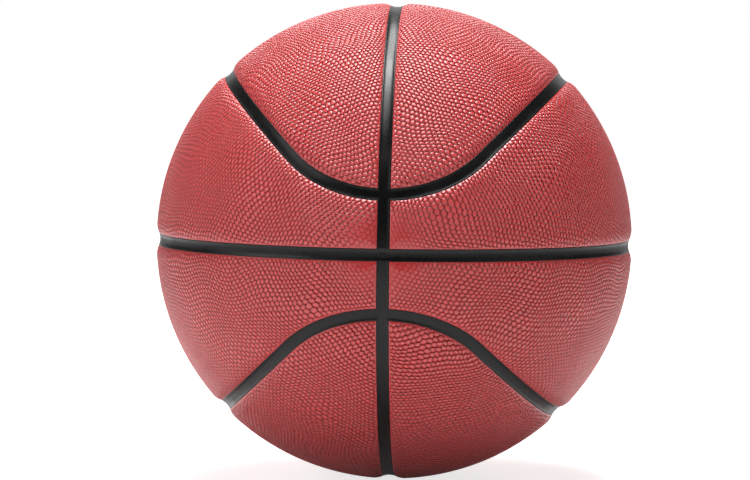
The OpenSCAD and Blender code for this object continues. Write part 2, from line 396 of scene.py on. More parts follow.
class NodeSheet:
    """Places and wires the nodes of one shader or geometry tree."""

    def __init__(self, tree: bpy.types.NodeTree) -> None:
        """Works on this tree."""
        self.tree = tree

    def add(self, kind: str, **settings: Any) -> bpy.types.Node:
        """Adds a node.

        Args:
            kind: Kind of node.
            settings: Values of its properties.

        Returns:
            The node.
        """
        node = self.tree.nodes.new(kind)
        for name, value in settings.items():
            setattr(node, name, value)
        return node

    def feed(self, target: Socket, value: Any) -> None:
        """Wires a socket into another, or sets its value.

        Args:
            target: The socket to feed.
            value: Another socket or a plain value.
        """
        if isinstance(value, bpy.types.NodeSocket):
            self.tree.links.new(value, target)
        else:
            target.default_value = value

    def fill(self, node: bpy.types.Node, **values: Any) -> bpy.types.Node:
        """Feeds a node's inputs by name.

        Args:
            node: The node.
            values: Sockets or plain values, with underscores for spaces in their names.

        Returns:
            The node.
        """
        for name, value in values.items():
            self.feed(node.inputs[name.replace("_", " ")], value)
        return node

    def out(self, node: bpy.types.Node, *values: Any) -> Socket:
        """Feeds a node's open inputs in order.

        Args:
            node: The node.
            values: A socket or a plain value for each input.

        Returns:
            The node's first open output.
        """
        inputs = [socket for socket in node.inputs if socket.enabled]
        for socket, value in zip(inputs, values):
            self.feed(socket, value)
        return next(socket for socket in node.outputs if socket.enabled)

    def math(self, operation: str, *values: Any, clamp: bool = False) -> Socket:
        """The result of a Math node."""
        return self.out(self.add("ShaderNodeMath", operation=operation, use_clamp=clamp), *values)

    def vector(self, operation: str, *values: Any) -> Socket:
        """The result of a Vector Math node."""
        return self.out(self.add("ShaderNodeVectorMath", operation=operation), *values)

    def scaled(self, vector: Any, factor: Any) -> Socket:
        """A vector times a number."""
        node = self.add("ShaderNodeVectorMath", operation="SCALE")
        return self.fill(node, Vector=vector, Scale=factor).outputs["Vector"]

    def noise(self, place: Socket, scale: Any, detail: float = 0.0, output: str = "Fac") -> Socket:
        """Noise at a place, with its size as one over scale."""
        node = self.add("ShaderNodeTexNoise")
        return self.fill(node, Vector=place, Scale=scale, Detail=detail).outputs[output]

    def eased(self, value: Socket, spread: Range, into: Range = (0.0, 1.0)) -> Socket:
        """A value eased from one range into another."""
        node = self.add("ShaderNodeMapRange", interpolation_type="SMOOTHSTEP")
        return self.out(node, value, *spread, *into)

    def mixed(self, share: Any, first: Any, second: Any) -> Socket:
        """Two colours mixed by a share."""
        colours = [(*colour, 1.0) if isinstance(colour, tuple) else colour for colour in (first, second)]
        return self.out(self.add("ShaderNodeMix", data_type="RGBA"), share, *colours)


class GroupSheet(NodeSheet):
    """The nodes of one node group, with its inputs and outputs at hand."""

    def __init__(self, name: str, kind: str, inputs: dict[str, str], outputs: dict[str, str]) -> None:
        """Starts a group.

        Args:
            name: Name of the group.
            kind: Kind of tree.
            inputs: What each named input takes.
            outputs: What each named output gives.
        """
        super().__init__(bpy.data.node_groups.new(name, kind))
        for way, sockets in (("INPUT", inputs), ("OUTPUT", outputs)):
            for socket, what in sockets.items():
                self.tree.interface.new_socket(name=socket, in_out=way, socket_type=f"NodeSocket{what}")
        self.given = self.add("NodeGroupInput").outputs
        self.end = self.add("NodeGroupOutput").inputs


@dataclass(frozen=True)
class PebbleGrain:
    """Sizes of the pebbled grain, in millimetres, with heights as shares of a pebble's relief."""

    pitch: float = 2.4
    relief: float = 0.3
    dome_power: float = 1.7
    row_stretch: float = 0.86
    sway: float = 9.0
    sway_size: float = 26.0
    wobble: float = 0.8
    wobble_size: float = 3.2
    smooth_height: float = 0.8
    # The crevice heights set where the leather's colour darkens into painted shade between the pebbles.
    crevice_heights: Range = (0.28, 0.94)
    # The crown heights set where the leather's colour pales into a painted highlight on the pebbles.
    crown_heights: Range = (0.6, 1.0)
    map_name: str = "PanelPlace"
    mask_name: str = "grain"

    def height(self, sheet: NodeSheet, place: Socket, pitch: Any) -> Socket:
        """Wires the height of the pebbles, which stand in rows like the cells of a comb.

        Args:
            sheet: The tree to work in.
            place: Place over the panel, in millimetres.
            pitch: Distance between the middles of two pebbles.

        Returns:
            The height, 0 in the deepest crevices and 1 on the crowns.
        """
        moved = place
        for reach, size in ((self.sway, self.sway_size), (self.wobble, self.wobble_size)):
            noise = sheet.noise(place, 1.0 / size, output="Color")
            shift = sheet.vector("SUBTRACT", noise, (0.5, 0.5, 0.5))
            moved = sheet.vector("ADD", moved, sheet.scaled(shift, reach))
        level = (1.0, 1.0, 0.0)
        moved = sheet.vector("MULTIPLY", moved, level)
        half_block = sheet.scaled(self.block(sheet, pitch), 0.5)
        other = sheet.vector("ADD", moved, sheet.vector("MULTIPLY", half_block, level))
        squares = [self.from_nearest(sheet, start, half_block) for start in (moved, other)]
        nearest = sheet.math("MINIMUM", *squares)
        corner = sheet.math("MULTIPLY", sheet.math("MULTIPLY", pitch, pitch), 1.0 / 3.0)
        share = sheet.math("DIVIDE", nearest, corner, clamp=True)
        return sheet.math("SUBTRACT", 1.0, sheet.math("POWER", share, self.dome_power))

    def from_nearest(self, sheet: NodeSheet, place: Socket, half_block: Socket) -> Socket:
        """Wires the square of the distance to the nearest pebble of a plain grid of blocks.

        Args:
            sheet: The tree to work in.
            place: Place over the panel.
            half_block: Half the size of a block.

        Returns:
            The square of the distance.
        """
        near = sheet.vector("WRAP", place, half_block, sheet.scaled(half_block, -1.0))
        near = sheet.vector("MULTIPLY", near, (1.0, self.row_stretch, 0.0))
        return sheet.vector("DOT_PRODUCT", near, near)

    def block(self, sheet: NodeSheet, pitch: Any) -> Socket:
        """The size of one block of the comb, which holds two pebbles, as a vector."""
        width = sheet.math("MULTIPLY", pitch, math.sqrt(3.0))
        return sheet.out(sheet.add("ShaderNodeCombineXYZ"), width, pitch, 1.0)


class EffectGroups:
    """Shader node groups that the finishes are made with."""

    @staticmethod
    def pebbles(grain: PebbleGrain) -> bpy.types.NodeTree:
        """The pebbled grain: its height, and how deep in a crevice or high on a crown a point is.

        Args:
            grain: Sizes of the grain.

        Returns:
            A group with the panel's place and the grain's mask as inputs.
        """
        inputs = {"Place": "Vector", "Mask": "Float", "Pitch": "Float"}
        outputs = {"Height": "Float", "Crevice": "Float", "Crown": "Float"}
        sheet = GroupSheet("Pebbled grain", "ShaderNodeTree", inputs, outputs)
        height = grain.height(sheet, sheet.given["Place"], sheet.given["Pitch"])
        over = sheet.math("SUBTRACT", height, grain.smooth_height)
        shown = sheet.math("MULTIPLY", over, sheet.given["Mask"])
        shown = sheet.math("ADD", shown, grain.smooth_height)
        sheet.feed(sheet.end["Height"], shown)
        sheet.feed(sheet.end["Crevice"], sheet.eased(shown, grain.crevice_heights, (1.0, 0.0)))
        sheet.feed(sheet.end["Crown"], sheet.eased(shown, grain.crown_heights))
        return sheet.tree

    @staticmethod
    def specks() -> bpy.types.NodeTree:
        """Fine specks and slow cloudiness over a surface, in a group that is built once.

        Returns:
            A group with a place and both scales, which gives both as numbers from 0 to 1.
        """
        name = "Specks and clouds"
        if name in bpy.data.node_groups:
            return bpy.data.node_groups[name]
        inputs = {"Place": "Vector", "Speck scale": "Float", "Cloud scale": "Float"}
        sheet = GroupSheet(name, "ShaderNodeTree", inputs, {"Specks": "Float", "Clouds": "Float"})
        for output, scale, detail in (("Specks", "Speck scale", 2.0), ("Clouds", "Cloud scale", 3.0)):
            noise = sheet.noise(sheet.given["Place"], sheet.given[scale], detail)
            sheet.feed(sheet.end[output], noise)
        return sheet.tree


class MaterialSheet(NodeSheet):
    """The nodes of one material, with its Principled shader at hand."""

    def __init__(self, name: str) -> None:
        """Starts a material.

        Args:
            name: Name of the material.
        """
        self.material = bpy.data.materials.new(name)
        self.material.use_nodes = True
        super().__init__(self.material.node_tree)
        self.shader = self.tree.nodes["Principled BSDF"]

    def group(self, tree: bpy.types.NodeTree, **values: Any) -> bpy.types.NodeOutputs:
        """Places a node group, feeds its inputs by name and gives its outputs."""
        return self.fill(self.add("ShaderNodeGroup", node_tree=tree), **values).outputs

    def put(self, **values: Any) -> None:
        """Feeds the shader's inputs by name."""
        self.fill(self.shader, **values)

    def object_place(self) -> Socket:
        """The place in the object, in metres."""
        return self.add("ShaderNodeTexCoord").outputs["Object"]

    def bump(self, height: Socket, depth_mm: float, **under: Socket) -> Socket:
        """The normal of a surface with a relief this deep, over another normal if one is given."""
        node = self.add("ShaderNodeBump")
        return self.fill(node, Height=height, Distance=depth_mm * MM, **under).outputs["Normal"]


@dataclass(frozen=True)
class CompositeLeather:
    """Pebbled composite leather of the cover panels, with painted shade in its crevices and a painted
    highlight on its crowns.
    """

    grain: PebbleGrain
    flank: Colour = (0.455, 0.001, 0.003)
    pale: Colour = (0.51, 0.004, 0.006)
    # Painted highlight: the paler pink that the pebbles' crowns are given.
    crown: Colour = (0.63, 0.078, 0.08)
    # Painted shade: the dark red that the crevices between the pebbles are given.
    crevice: Colour = (0.125, 0.0, 0.0)
    speck_scale: float = 3.2
    cloud_scale: float = 0.045
    cloud_range: Range = (0.35, 0.7)
    pale_share: float = 0.35
    roughness: float = 0.29
    crevice_roughness: float = 0.36
    speck_range: Range = (0.3, 0.7)
    speck_roughness: Range = (-0.05, 0.05)
    gloss: float = 0.64
    bump_mm: float = 0.7
    fine_bump_mm: float = 0.012

    def material(self) -> bpy.types.Material:
        """Builds the material, which reads the panel's own map.

        Returns:
            The material.
        """
        sheet = MaterialSheet("Composite leather")
        place = sheet.add("ShaderNodeUVMap", uv_map=self.grain.map_name).outputs["UV"]
        mask = sheet.add("ShaderNodeAttribute", attribute_name=self.grain.mask_name).outputs["Fac"]
        pebbles = EffectGroups.pebbles(self.grain)
        grain = sheet.group(pebbles, Place=place, Mask=mask, Pitch=self.grain.pitch)
        effect = EffectGroups.specks()
        scales = {"Speck_scale": self.speck_scale, "Cloud_scale": self.cloud_scale}
        specks = sheet.group(effect, Place=place, **scales)
        cloud = sheet.eased(specks["Clouds"], self.cloud_range)
        colour = sheet.mixed(sheet.math("MULTIPLY", cloud, self.pale_share), self.flank, self.pale)
        # Mixes in the painted highlight where the Crown mask is high, paling the crowns.
        colour = sheet.mixed(grain["Crown"], colour, self.crown)
        # Mixes in painted shade where the Crevice mask is high, darkening the crevices.
        colour = sheet.mixed(grain["Crevice"], colour, self.crevice)
        rough = sheet.math("MULTIPLY", grain["Crevice"], self.crevice_roughness - self.roughness)
        rough = sheet.math("ADD", rough, self.roughness)
        speckle = sheet.eased(specks["Specks"], self.speck_range, self.speck_roughness)
        relief = sheet.bump(grain["Height"], self.bump_mm)
        normal = sheet.bump(specks["Specks"], self.fine_bump_mm, Normal=relief)
        sheet.put(Base_Color=colour, Roughness=sheet.math("ADD", rough, speckle), Normal=normal)
        sheet.put(Specular_IOR_Level=self.gloss)
        return sheet.material


@dataclass(frozen=True)
class MouldedRubber:
    """Moulded rubber: the channels, the valve, the carcass and the bladder."""

    name: str
    colour: Colour
    dust: Colour
    roughness: float = 0.3
    dust_share: float = 0.25
    gloss: float = 0.5
    dust_roughness: float = 0.12
    bump_mm: float = 0.02
    speck_mm: float = 0.5
    cloud_mm: float = 14.0
    cloud_range: Range = (0.42, 0.75)
    speck_range: Range = (0.35, 0.65)
    speck_roughness: Range = (-0.04, 0.04)

    def material(self) -> bpy.types.Material:
        """Builds the material, which reads object coordinates.

        Returns:
            The material.
        """
        sheet = MaterialSheet(self.name)
        effect = EffectGroups.specks()
        scales = {"Speck_scale": 1.0 / (self.speck_mm * MM), "Cloud_scale": 1.0 / (self.cloud_mm * MM)}
        specks = sheet.group(effect, Place=sheet.object_place(), **scales)
        cloud = sheet.eased(specks["Clouds"], self.cloud_range)
        colour = sheet.mixed(sheet.math("MULTIPLY", cloud, self.dust_share), self.colour, self.dust)
        rough = sheet.math("ADD", sheet.math("MULTIPLY", cloud, self.dust_roughness), self.roughness)
        speckle = sheet.eased(specks["Specks"], self.speck_range, self.speck_roughness)
        normal = sheet.bump(specks["Specks"], self.bump_mm)
        sheet.put(Base_Color=colour, Roughness=sheet.math("ADD", rough, speckle), Normal=normal)
        sheet.put(Specular_IOR_Level=self.gloss)
        return sheet.material


CHANNEL_RUBBER = MouldedRubber("Channel rubber", (0.0015, 0.0015, 0.0018), (0.008, 0.008, 0.009), gloss=0.31)
VALVE_RUBBER = MouldedRubber("Valve rubber", (0.012, 0.012, 0.013), (0.07, 0.07, 0.07), 0.45)
PLUG_RUBBER = MouldedRubber("Plug rubber", (0.26, 0.24, 0.2), (0.4, 0.38, 0.33), 0.55)
CARCASS_RUBBER = MouldedRubber("Carcass rubber", (0.05, 0.05, 0.054), (0.16, 0.15, 0.14), 0.62, 0.4)
BLADDER_RUBBER = MouldedRubber("Butyl rubber", (0.02, 0.02, 0.022), (0.1, 0.1, 0.1), 0.42)


@dataclass(frozen=True)
class SpongeRubber:
    """Open-celled sponge rubber of the pads."""

    colour: Colour = (0.6, 0.48, 0.29)
    # Painted shade: the darker colour given to the pits of the sponge's cells.
    painted_pore_shade: Colour = (0.3, 0.22, 0.12)
    cell_mm: float = 0.7
    cell_range: Range = (0.1, 0.5)
    bump_mm: float = 0.15
    roughness: float = 0.9

    def material(self) -> bpy.types.Material:
        """Builds the material, which reads object coordinates.

        Returns:
            The material.
        """
        sheet = MaterialSheet("Sponge rubber")
        cells = sheet.add("ShaderNodeTexVoronoi")
        sheet.fill(cells, Vector=sheet.object_place(), Scale=1.0 / (self.cell_mm * MM))
        hollow = sheet.eased(cells.outputs["Distance"], self.cell_range)
        normal = sheet.bump(hollow, self.bump_mm)
        # The pits are darkened with painted shade, the rims keep the sponge's colour.
        colour = sheet.mixed(hollow, self.painted_pore_shade, self.colour)
        sheet.put(Base_Color=colour, Roughness=self.roughness, Normal=normal)
        return sheet.material


@dataclass(frozen=True)
class WoundThread:
    """Nylon thread wound over the bladder in crossing bands."""

    colour: Colour = (0.8, 0.77, 0.68)
    # Painted shade: the darker colour given to the grooves between the threads.
    painted_groove_shade: Colour = (0.42, 0.38, 0.3)
    thread_mm: float = 0.6
    order_mm: float = 18.0
    order_ranges: tuple[Range, Range] = ((0.4, 0.48), (0.54, 0.62))
    bump_mm: float = 0.12
    roughness: float = 0.7

    def material(self) -> bpy.types.Material:
        """Builds the material: three sets of bands, whose order changes over the ball.

        Returns:
            The material.
        """
        sheet = MaterialSheet("Wound thread")
        place = sheet.object_place()
        ways = (Vector((1.0, 0.35, 0.2)), Vector((-0.3, 1.0, 0.45)), Vector((0.25, -0.4, 1.0)))
        height, *others = [self.band(sheet, place, way.normalized()) for way in ways]
        order = sheet.noise(place, 1.0 / (self.order_mm * MM))
        for spread, band in zip(self.order_ranges, others):
            more = sheet.math("SUBTRACT", band, height)
            height = sheet.math("MULTIPLY_ADD", sheet.eased(order, spread), more, height)
        # The grooves between the threads are darkened with painted shade.
        colour = sheet.mixed(height, self.painted_groove_shade, self.colour)
        normal = sheet.bump(height, self.bump_mm)
        sheet.put(Base_Color=colour, Roughness=self.roughness, Normal=normal)
        return sheet.material

    def band(self, sheet: MaterialSheet, place: Socket, way: Vector) -> Socket:
        """Wires the height of threads that run side by side across a direction.

        Args:
            sheet: The material's nodes.
            place: Place in the object.
            way: Unit direction across the threads.

        Returns:
            The height, from 0 to 1.
        """
        along = sheet.vector("DOT_PRODUCT", place, way)
        turns = sheet.math("MULTIPLY", along, 2.0 * math.pi / (self.thread_mm * MM))
        return sheet.math("MULTIPLY_ADD", sheet.math("SINE", turns), 0.5, 0.5)


@dataclass(frozen=True)
class PebbleTree:
    """The geometry tree that raises the pebbles out of a smooth panel."""

    grain: PebbleGrain

    def tree(self) -> bpy.types.NodeTree:
        """Builds the tree: place, height, displaced skin, instances and material.

        Returns:
            The tree.
        """
        inputs = {
            "Geometry": "Geometry",
            "Pebble pitch": "Float",
            "Pebble relief": "Float",
            "Cover material": "Material",
        }
        sheet = GroupSheet("Pebbled cover", "GeometryNodeTree", inputs, {"Geometry": "Geometry"})
        given = sheet.given
        place = self.attribute(sheet, self.grain.map_name, "FLOAT_VECTOR")
        mask = self.attribute(sheet, self.grain.mask_name, "FLOAT")
        height = self.grain.height(sheet, place, given["Pebble pitch"])
        middle = 0.5
        lift = sheet.math("MULTIPLY", sheet.math("SUBTRACT", height, middle), given["Pebble relief"])
        lift = sheet.math("MULTIPLY", lift, mask)
        outwards = sheet.vector("NORMALIZE", sheet.out(sheet.add("GeometryNodeInputPosition")))
        moved = sheet.add("GeometryNodeSetPosition")
        sheet.fill(moved, Geometry=given["Geometry"], Offset=sheet.scaled(outwards, lift))
        real = sheet.out(sheet.add("GeometryNodeRealizeInstances"), moved.outputs["Geometry"])
        dressed = sheet.add("GeometryNodeSetMaterial")
        sheet.fill(dressed, Geometry=real, Material=given["Cover material"])
        sheet.feed(sheet.end["Geometry"], dressed.outputs["Geometry"])
        return sheet.tree

    def attribute(self, sheet: NodeSheet, name: str, kind: str) -> Socket:
        """A named attribute of the mesh."""
        node = sheet.add("GeometryNodeInputNamedAttribute", data_type=kind)
        return sheet.fill(node, Name=name).outputs["Attribute"]

    def raise_on(
        self, piece: bpy.types.Object, tree: bpy.types.NodeTree, material: bpy.types.Material
    ) -> None:
        """Puts the pebbles on a panel and makes the result its plain mesh.

        Args:
            piece: The smooth panel, with its map and its grain mask.
            tree: The tree that raises the pebbles.
            material: The material that the tree sets.
        """
        modifier = piece.modifiers.new("Pebbled cover", "NODES")
        modifier.node_group = tree
        values = {
            "Pebble pitch": self.grain.pitch,
            "Pebble relief": self.grain.relief * MM,
            "Cover material": material,
        }
        for item in tree.interface.items_tree:
            if item.name in values:
                modifier[item.identifier] = values[item.name]
        evaluated_mesh(piece)


@dataclass(frozen=True)
class Valve:
    """The valve's boss and plug, in the upper left side panel near the back crossing."""

    layers: BallLayers
    turn: float = 11.0
    rise: float = 7.0
    stem_r: float = 3.8
    hole_r: float = 3.9
    stem_sink: float = 0.3
    stem_root_drop: float = 0.1
    lip_r: float = 0.35
    bore_r: float = 2.35
    flange_r: float = 10.0
    flange_outer: float = 113.4
    flange_inner: float = 112.2
    flange_rim_drop: float = 0.45
    barrel_r: float = 4.5
    barrel_end: float = 103.2
    plug_r: float = 2.3
    plug_sink: float = 0.3
    plug_lip_r: float = 0.25
    plug_head_r: float = 3.5
    plug_head_end: float = 103.15
    plug_tail_end: float = 101.65
    needle_r: float = 0.95
    needle_depth: float = 13.0
    mouth_r: float = 1.45
    mouth_depth: float = 0.5
    cutter_spare: float = 3.0
    turn_steps: int = 96
    lip_steps: int = 6
    least_area: float = 1e-9
    weld_reach: float = 0.00001

    @property
    def axis(self) -> Vector:
        """Unit direction of the valve from the ball's centre."""
        return -from_front(self.turn, -self.rise)

    @property
    def stem_end(self) -> float:
        """Distance of the stem's end from the ball's centre."""
        return self.layers.crown_r - self.stem_sink

    def from_axis(self, directions: np.ndarray) -> np.ndarray:
        """Distance of directions from the valve's axis.

        Args:
            directions: Unit directions, one a row.

        Returns:
            The distances in millimetres at the crown.
        """
        along = directions @ np.array(self.axis)
        apart = self.layers.crown_r * np.sqrt(np.clip(1.0 - along**2, 0.0, None))
        return np.where(along > 0.0, apart, self.layers.crown_r)

    def turned(self, name: str, outline: Sequence[tuple[float, float]]) -> bpy.types.Object:
        """A closed ring turned about the valve's axis.

        Args:
            name: Name of the object.
            outline: Closed outline as (radius, distance from the ball's centre) pairs.

        Returns:
            The turned object.
        """
        section = np.array(outline)
        angles = np.linspace(0.0, 2.0 * math.pi, self.turn_steps, endpoint=False)[:, None]
        upright = np.array(self.axis)
        sideways = unit(np.cross(upright, [0.0, 0.0, 1.0]))
        rings = np.cos(angles) * sideways + np.sin(angles) * np.cross(upright, sideways)
        points = section[None, :, :1] * rings[:, None, :] + section[None, :, 1:] * upright
        points = points.reshape(-1, 3)
        numbers = np.arange(len(points)).reshape(self.turn_steps, -1)
        triangles = between_rings(numbers, np.roll(numbers, -1, axis=0))
        triangles = triangles[self.has_area(points, triangles)]
        made = object_from(name, points, outward(points, triangles))
        modifier = made.modifiers.new("Weld", "WELD")
        modifier.merge_threshold = self.weld_reach * MM
        evaluated_mesh(made)
        return made

    def has_area(self, points: np.ndarray, triangles: np.ndarray) -> np.ndarray:
        """Which triangles aren't drawn out to a line, as those on the axis are."""
        a, b, c = np.moveaxis(points[triangles], 1, 0)
        return np.linalg.norm(np.cross(b - a, c - a), axis=1) > self.least_area

    def rounded(self, radius: float, end: float, lip: float) -> list[tuple[float, float]]:
        """Outline of a round lip, from the flank of a shaft over to its end."""
        angles = np.linspace(0.0, math.pi / 2.0, self.lip_steps + 1)
        return [(radius - lip + lip * math.cos(a), end - lip + lip * math.sin(a)) for a in angles]

    def boss(self) -> bpy.types.Object:
        """The moulded rubber boss: barrel, flange under the bladder, and stem.

        Returns:
            The boss.
        """
        outline = [
            (self.bore_r, self.barrel_end),
            (self.barrel_r, self.barrel_end),
            (self.barrel_r, self.flange_inner),
            (self.flange_r, self.flange_inner - self.flange_rim_drop),
            (self.flange_r, self.flange_outer - self.flange_rim_drop),
            (self.stem_r, self.flange_outer - self.stem_root_drop),
            *self.rounded(self.stem_r, self.stem_end, self.lip_r),
            (self.bore_r + self.lip_r, self.stem_end),
            (self.bore_r, self.stem_end - self.lip_r),
        ]
        return self.turned("valve_boss_rubber", outline)

    def plug(self) -> bpy.types.Object:
        """The soft plug with its head under the barrel and the needle's mouth at its end.

        Returns:
            The plug.
        """
        end = self.stem_end - self.plug_sink
        outline = [
            (0.0, self.plug_tail_end),
            (self.plug_head_r, self.plug_tail_end),
            (self.plug_head_r, self.plug_head_end),
            (self.plug_r, self.plug_head_end),
            *self.rounded(self.plug_r, end, self.plug_lip_r),
            (self.mouth_r, end),
            (self.needle_r, end - self.mouth_depth),
            (self.needle_r, end - self.needle_depth),
            (0.0, end - self.needle_depth),
        ]
        return self.turned("valve_plug_rubber", outline)

    def cutter(self) -> bpy.types.Object:
        """The round tool that cuts the stem's hole through the panel.

        Returns:
            The tool, to be removed after its use.
        """
        low = self.layers.cover_inner_r - self.cutter_spare
        high = self.layers.crown_r + self.cutter_spare
        outline = [(0.0, low), (self.hole_r, low), (self.hole_r, high), (0.0, high)]
        return self.turned("stem_hole_cutter", outline)

    def build(self, rubber: bpy.types.Material, soft_rubber: bpy.types.Material) -> None:
        """Makes both pieces and dresses them.

        Args:
            rubber: Material of the boss.
            soft_rubber: Material of the plug.
        """
        pieces = ((self.boss(), "valve_boss", rubber), (self.plug(), "valve_plug", soft_rubber))
        for piece, node, material in pieces:
            piece.data.materials.append(material)
            finish_piece(piece, node)


@dataclass(frozen=True)
class PanelCut:
    """One of the eight panels: its CAD node, its shape and place, and how its grain lies.

    The panels are cut from one sheet, each a step on from the one before it.
    """

    node: str
    shape: PanelShape
    placing: Placing
    order: int
    grain_turn: float
    has_valve: bool = False
    sheet_step: tuple[float, float] = (61.0, 37.0)

    @staticmethod
    def all_eight() -> list["PanelCut"]:
        """The panels, with the grain of each turned as in the photograph.

        Returns:
            The panels in their order on the sheet.
        """
        top, side = PanelShape.TOP, PanelShape.SIDE
        right, left = Placing(), Placing(left=True)
        low_right, low_left = Placing(lower=True), Placing(left=True, lower=True)
        return [
            PanelCut("cover_top_right", top, right, 1, 10.0),
            PanelCut("cover_top_left", top, left, 2, 0.0),
            PanelCut("cover_bottom_right", top, low_right, 3, 17.0),
            PanelCut("cover_bottom_left", top, low_left, 4, -18.0),
            PanelCut("cover_side_right_upper", side, right, 5, 0.0),
            PanelCut("cover_side_left_upper", side, left, 6, 20.0, has_valve=True),
            PanelCut("cover_side_right_lower", side, low_right, 7, 17.0),
            PanelCut("cover_side_left_lower", side, low_left, 8, 17.0),
        ]

    def laid(self, place: np.ndarray) -> np.ndarray:
        """Turns and moves the panel on the sheet that it is cut from.

        Args:
            place: Places on the flattened panel, one a row.

        Returns:
            The places on the sheet.
        """
        turn = math.radians(self.grain_turn)
        turned = place @ np.array([(math.cos(turn), math.sin(turn)), (-math.sin(turn), math.cos(turn))])
        return turned + self.order * np.array(self.sheet_step)


@dataclass(frozen=True)
class CoverPanels:
    """The eight cover panels, each a closed shell with rolled edges and a pebbled skin.

    The bands of the bake layout hold the front half of the outer face, its back half, the
    inner face and the wall.
    """

    layers: BallLayers
    layout: ChannelLayout
    grain: PebbleGrain
    valve: Valve
    row_step: float = 0.5
    column_step: float = 0.5
    back_step: float = 9.0
    point_w: float = 0.125
    edge_fade: Range = (0.0, 1.3)
    corner_fade: Range = (4.8, 24.0)
    corner_grain: float = 0.25
    skin_depth: float = 1.0
    valve_fade: Range = (1.2, 3.7)
    valve_roll: float = 2.2
    valve_drop: float = 0.35
    bands: tuple[Range, ...] = ((0.0, 0.4), (0.42, 0.82), (0.84, 0.96), (0.97, 0.99))

    def rails(self, shape: PanelShape, radius: float, count: int) -> tuple[np.ndarray, np.ndarray]:
        """The two long edges of a panel in the upper right quarter.

        Args:
            shape: Which panel.
            radius: Distance of the edges from the ball's centre.
            count: Number of points on each.

        Returns:
            Points along the one edge and along the other, from front to back.
        """
        half = self.layers.channel_half_w
        if shape is PanelShape.SIDE:
            curved = self.layout.upper_course(radius, -half, count)[0]
            return curved, self.layout.equator_edge(radius, count)
        curved = self.layout.upper_course(radius, half, count)[0]
        first = math.atan2(curved[0, 2], -curved[0, 1])
        return self.layout.meridian_edge(radius, first, count), curved

    def rows(self, rails: tuple[np.ndarray, np.ndarray], step: float) -> list[np.ndarray]:
        """Rows of directions from one edge of a panel to the other.

        Args:
            rails: The two edges.
            step: Distance between the points of a row, apart from the first and the last row,
                whose points are as close as those of the outer face.

        Returns:
            Unit directions, one array a row.
        """
        starts, ends = (unit(rail) for rail in rails)
        widths = np.linalg.norm(rails[0] - rails[1], axis=1)
        made = []
        for place, width in enumerate(widths):
            spacing = self.column_step if place in (0, len(widths) - 1) else step
            count = 1 if width < self.point_w else max(2, round(width / spacing) + 1)
            made.append(arc_between(starts[place], ends[place], count))
        return made

    def shell(self, shape: PanelShape) -> Surface:
        """Builds a smooth panel's outer face, its back and the wall between them.

        Args:
            shape: Which panel, in the upper right quarter.

        Returns:
            The closed shell with its maps.
        """
        layers = self.layers
        count = round(layers.cover_edge_r * math.pi / self.row_step) + 1
        outer_rows = self.rows(self.rails(shape, layers.cover_edge_r, count), self.column_step)
        inner_rows = self.rows(self.rails(shape, layers.cover_inner_r, count), self.back_step)
        outer = np.concatenate(outer_rows)
        inner = np.concatenate(inner_rows)
        distances = self.layout.distances(outer)
        radius = layers.crown_r - self.grain.relief / 2.0 - layers.drop(distances)
        points = np.concatenate([outer * radius[:, None], inner * layers.cover_inner_r])
        front = self.numbered(outer_rows, 0)
        back = self.numbered(inner_rows, len(outer))
        fronts = [stitched(*rows) for rows in zip(front, front[1:])]
        backs = [stitched(*rows)[:, ::-1] for rows in zip(back, back[1:])]
        walls = self.wall(front, back)
        faces = np.concatenate([*fronts, *backs, walls])
        bands = [np.full(len(part), int(row >= count // 2)) for row, part in enumerate(fronts)]
        bands += [np.full(sum(map(len, backs)), 2), np.full(len(walls), 3)]
        place = self.flattened(shape, np.concatenate([outer, inner]))
        atlas = self.atlas(place[faces], np.concatenate(bands))
        grain = np.concatenate([self.grain_mask(distances), np.zeros(len(inner))])
        return Surface(points, outward(points, faces), place, atlas, grain)

    def numbered(self, rows: list[np.ndarray], start: int) -> list[np.ndarray]:
        """Point numbers of each row, counted on from a start."""
        ends = np.cumsum([len(row) for row in rows]) + start
        return [np.arange(end - len(row), end) for end, row in zip(ends, rows)]

    def wall(self, front: list[np.ndarray], back: list[np.ndarray]) -> np.ndarray:
        """Joins a panel's outer face to its back by a narrow wall.

        Args:
            front: Point numbers of each row of the outer face.
            back: Point numbers of each row of the back.

        Returns:
            The wall's triangles.
        """
        starts, ends = ([np.array([row[side] for row in rows]) for rows in (front, back)] for side in (0, -1))
        parts = [stitched(*starts), stitched(*ends)[:, ::-1]]
        if len(front[0]) > 1:
            parts += [stitched(front[0], back[0])[:, ::-1], stitched(front[-1], back[-1])]
        return np.concatenate(parts)

    def flattened(self, shape: PanelShape, directions: np.ndarray) -> np.ndarray:
        """Lays a panel flat along its middle.

        Args:
            shape: Which panel.
            directions: Unit directions of its points, one a row.

        Returns:
            The points' places on the flat panel, in millimetres.
        """
        half_turn = self.layout.tilt / 2.0
        angle = half_turn if shape is PanelShape.TOP else math.pi / 2.0 - half_turn
        middle = np.array([math.sin(angle), 0.0, math.cos(angle)])
        across = np.array([math.cos(angle), 0.0, -math.sin(angle)])
        along = np.arctan2(directions[:, 1], directions @ middle)
        aside = np.arcsin(np.clip(directions @ across, -1.0, 1.0))
        return self.layers.crown_r * np.stack([along, aside], axis=1)

    def atlas(self, corners: np.ndarray, bands: np.ndarray) -> np.ndarray:
        """Lays a panel's faces out in the unit square, none over another.

        Args:
            corners: Place of each corner of each triangle on the flattened panel.
            bands: Number of the band that each triangle lies in.

        Returns:
            The layout's place of each corner of each triangle.
        """
        low = corners.min(axis=(0, 1))
        share = (corners - low) / (corners.max(axis=(0, 1)) - low)
        starts, ends = np.array(self.bands)[bands].T[:, :, None]
        is_half = (bands < 2)[:, None]
        along = np.where(is_half, 2.0 * share[:, :, 0] - bands[:, None], share[:, :, 0])
        across = starts + (ends - starts) * share[:, :, 1]
        return np.clip(np.stack([along, across], axis=2), 0.0, 1.0)

